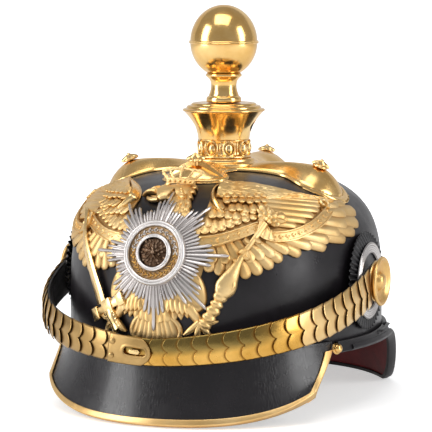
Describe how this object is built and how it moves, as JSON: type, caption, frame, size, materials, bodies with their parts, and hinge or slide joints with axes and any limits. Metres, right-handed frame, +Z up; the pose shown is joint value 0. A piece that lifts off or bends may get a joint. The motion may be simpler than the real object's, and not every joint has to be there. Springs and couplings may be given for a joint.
{
  "type": "dress helmet",
  "caption": "Black lacquered dress helmet with gilt visor trim, cross-shaped crown mount, screw-in ball finial, spread-winged eagle plate, silver star, cockades and scaled chin strap.",
  "frame": {"origin": "centre of the head opening, on the plane of the skull's rim", "axes": "+Z up through the crown, the front of the helmet faces -Y, the wearer's left is +X"},
  "size_m": [0.2048, 0.2463, 0.2335],
  "materials": {
    "lacquered_leather": "black lacquer, polished, with fine wear",
    "lacquered_edging": "black lacquered leather edging",
    "red_lining": "dyed dark red",
    "green_lining": "dyed dark green",
    "gilt_trim": "polished gilt",
    "gilt_mounts": "polished gilt",
    "gilt_finial": "polished gilt",
    "gilt_scales": "polished gilt, worn",
    "matte_gilt": "fine matte gilt",
    "brass_fasteners": "plain brass",
    "steel_nuts": "plain",
    "silver_star": "silvered, softly polished",
    "dark_field": "dark gilt field",
    "medallion": "gilt and enamel",
    "cockade_black": "black paint",
    "cockade_silver": "silver paint",
    "strap_leather": "black",
    "sweatband_leather": "tan",
    "liner_silk": "ribbed silk"
  },
  "bodies": {
    "helmet": {"skull": "lacquered_leather", "front_visor": "lacquered_leather", "front_visor_lining": "green_lining", "front_visor_trim": "gilt_trim", "trim_end_studs": "gilt_trim", "rear_visor": "lacquered_leather", "rear_visor_lining": "red_lining", "rear_visor_edging": "lacquered_edging", "rear_spine": "gilt_mounts", "rear_spine_studs": "gilt_mounts", "cross_base": "gilt_mounts", "cross_studs": "gilt_mounts", "plate_nuts": "steel_nuts", "beaded_collar": "gilt_finial", "neck": "gilt_finial", "neck_cap": "gilt_finial", "eagle_plate": "matte_gilt", "eagle_crown": "matte_gilt", "eagle_sabre": "matte_gilt", "eagle_sceptre": "matte_gilt", "eagle_posts": "brass_fasteners", "star_rays": "silver_star", "star_rim": "silver_star", "star_field": "dark_field", "star_inner_ring": "silver_star", "star_medallion": "medallion", "cockade_left": "cockade_black", "cockade_right": "cockade_black", "cockade_ring_left": "cockade_silver", "cockade_ring_right": "cockade_silver", "rosette_left": "gilt_scales", "rosette_right": "gilt_scales", "rosette_bolts": "brass_fasteners", "rosette_nuts": "steel_nuts", "sweatband": "sweatband_leather", "liner": "liner_silk"},
    "finial_screw": {"finial_screw": "brass_fasteners"},
    "finial": {"finial_stem": "gilt_finial", "ball_lower": "gilt_finial", "ball_upper": "gilt_finial", "ball_band": "gilt_finial"},
    "left_scales_1": {"scales_left_1": "gilt_scales", "strap_left_1": "strap_leather"},
    "left_scales_2": {"scales_left_2": "gilt_scales", "strap_left_2": "strap_leather"},
    "left_scales_3": {"scales_left_3": "gilt_scales", "strap_left_3": "strap_leather"},
    "left_scales_4": {"scales_left_4": "gilt_scales", "strap_left_4": "strap_leather", "end_stud": "gilt_scales"},
    "right_scales_1": {"scales_right_1": "gilt_scales", "strap_right_1": "strap_leather"},
    "right_scales_2": {"scales_right_2": "gilt_scales", "strap_right_2": "strap_leather"},
    "right_scales_3": {"scales_right_3": "gilt_scales", "strap_right_3": "strap_leather"},
    "right_scales_4": {"scales_right_4": "gilt_scales", "strap_right_4": "strap_leather", "end_tab": "gilt_scales", "tab_rivets": "gilt_scales"}
  },
  "joints": [
    {"name": "finial_rise", "type": "slide", "parent": "helmet", "child": "finial_screw", "axis": [0, 0, 1], "range_m": [0, 0.0075]},
    {"name": "finial_turn", "type": "hinge", "parent": "finial_screw", "child": "finial", "pos_m": [0, -0.006, 0.15], "axis": [0, 0, 1], "range_deg": [0, 1801]},
    {"name": "left_lift", "type": "hinge", "parent": "helmet", "child": "left_scales_1", "pos_m": [0, -0.008, 0.035], "axis": [-1, 0, 0], "range_deg": [0, 80]},
    {"name": "right_lift", "type": "hinge", "parent": "helmet", "child": "right_scales_1", "pos_m": [0, -0.008, 0.035], "axis": [-1, 0, 0], "range_deg": [0, 80]},
    {"name": "right_flex_1", "type": "hinge", "parent": "right_scales_1", "child": "right_scales_2", "pos_m": [-0.09419, -0.05512, 0.0231], "axis": [-0.0581, 0.222, -0.9733], "range_deg": [0, 14]},
    {"name": "right_flex_2", "type": "hinge", "parent": "right_scales_2", "child": "right_scales_3", "pos_m": [-0.07935, -0.08723, 0.01554], "axis": [-0.1172, 0.1603, -0.9801], "range_deg": [0, 16.8]},
    {"name": "right_flex_3", "type": "hinge", "parent": "right_scales_3", "child": "right_scales_4", "pos_m": [-0.05192, -0.1098, 0.00926], "axis": [-0.1437, 0.0679, -0.9873], "range_deg": [0, 19.6]},
    {"name": "left_flex_1", "type": "hinge", "parent": "left_scales_1", "child": "left_scales_2", "pos_m": [0.09419, -0.05512, 0.0231], "axis": [-0.0581, -0.222, 0.9733], "range_deg": [0, 4.2]},
    {"name": "left_flex_2", "type": "hinge", "parent": "left_scales_2", "child": "left_scales_3", "pos_m": [0.07935, -0.08723, 0.01554], "axis": [-0.1172, -0.1603, 0.9801], "range_deg": [0, 5.04]},
    {"name": "left_flex_3", "type": "hinge", "parent": "left_scales_3", "child": "left_scales_4", "pos_m": [0.05192, -0.1098, 0.00926], "axis": [-0.1437, -0.0679, 0.9873], "range_deg": [0, 5.88]}
  ],
  "couplings": [
    {"joint": "finial_turn", "follows": "finial_rise", "rad_per_m": 4188.8},
    {"joint": "right_lift", "follows": "left_lift", "ratio": 1},
    {"joint": "right_flex_2", "follows": "right_flex_1", "ratio": 1.2},
    {"joint": "right_flex_3", "follows": "right_flex_1", "ratio": 1.4},
    {"joint": "left_flex_1", "follows": "right_flex_1", "ratio": 0.3},
    {"joint": "left_flex_2", "follows": "right_flex_1", "ratio": 0.36},
    {"joint": "left_flex_3", "follows": "right_flex_1", "ratio": 0.42}
  ]
}
